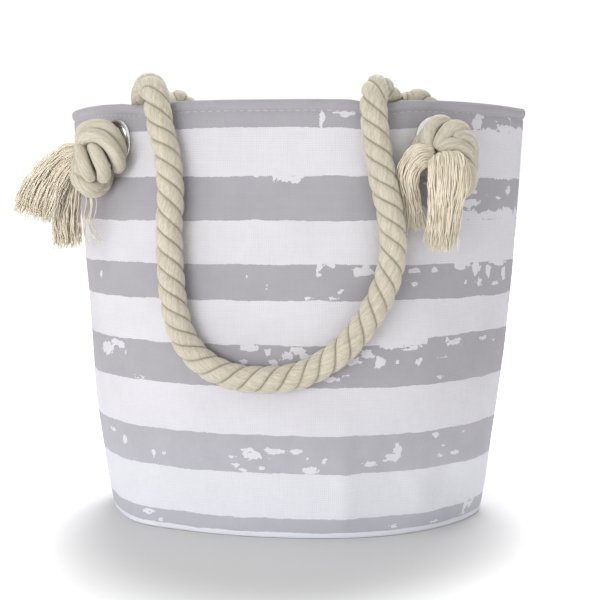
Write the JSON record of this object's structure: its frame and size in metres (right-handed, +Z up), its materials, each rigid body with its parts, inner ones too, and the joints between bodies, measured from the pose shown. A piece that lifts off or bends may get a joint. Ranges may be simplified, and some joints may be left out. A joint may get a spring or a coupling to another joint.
{
  "type": "beach bag",
  "caption": "Small lined canvas tote with a distressed stripe, a flat oval base, metal eyelets and twisted rope handles that are knotted and frayed outside.",
  "frame": {"origin": "middle of the base's underside, on the surface that the bag stands on", "axes": "+Z up, the front faces -Y, +X to the right as seen from the front, along the mouth's longer side"},
  "size_m": [0.2569, 0.197, 0.2337],
  "materials": {
    "printed_canvas": "plain-weave cotton canvas, white with worn grey printed stripes",
    "plain_canvas": "plain-weave white cotton canvas",
    "lining_fabric": "thin plain-weave cotton, off-white",
    "stiffener_board": "plain fibre board",
    "eyelet_metal": "polished nickel plate",
    "cotton_rope": "twisted three-strand unbleached cotton rope",
    "cotton_yarn": "loose unbleached cotton yarn"
  },
  "bodies": {
    "bag": {"front_panel": "printed_canvas", "back_panel": "printed_canvas", "base_panel": "plain_canvas", "lining_front": "lining_fabric", "lining_back": "lining_fabric", "lining_base": "lining_fabric", "base_stiffener": "stiffener_board", "front_left_eyelet": "eyelet_metal", "front_left_eyelet_washer": "eyelet_metal", "front_right_eyelet": "eyelet_metal", "front_right_eyelet_washer": "eyelet_metal", "back_right_eyelet": "eyelet_metal", "back_right_eyelet_washer": "eyelet_metal", "back_left_eyelet": "eyelet_metal", "back_left_eyelet_washer": "eyelet_metal", "front_left_knot": "cotton_rope", "front_right_knot": "cotton_rope", "back_right_knot": "cotton_rope", "back_left_knot": "cotton_rope", "front_handle_left_inner_leg": "cotton_rope", "front_handle_left_bend": "cotton_rope", "front_handle_right_bend": "cotton_rope", "front_handle_right_inner_leg": "cotton_rope", "back_handle_left_inner_leg": "cotton_rope", "back_handle_left_bend": "cotton_rope", "back_handle_right_bend": "cotton_rope", "back_handle_right_inner_leg": "cotton_rope", "front_left_tassel": "cotton_yarn", "front_right_tassel": "cotton_yarn", "back_right_tassel": "cotton_yarn", "back_left_tassel": "cotton_yarn"},
    "front_handle": {"front_handle_drape": "cotton_rope"},
    "back_handle": {"back_handle_drape": "cotton_rope"}
  },
  "joints": [
    {"name": "front_handle_swing", "type": "hinge", "parent": "bag", "child": "front_handle", "pos_m": [0, -0.0695, 0.229], "axis": [-1, 0, 0], "range_deg": [0, 175], "deforming": ["front_handle_left_bend", "front_handle_right_bend"]},
    {"name": "back_handle_swing", "type": "hinge", "parent": "bag", "child": "back_handle", "pos_m": [0, 0.0695, 0.231], "axis": [1, 0, 0], "range_deg": [0, 175], "deforming": ["back_handle_left_bend", "back_handle_right_bend"]}
  ]
}
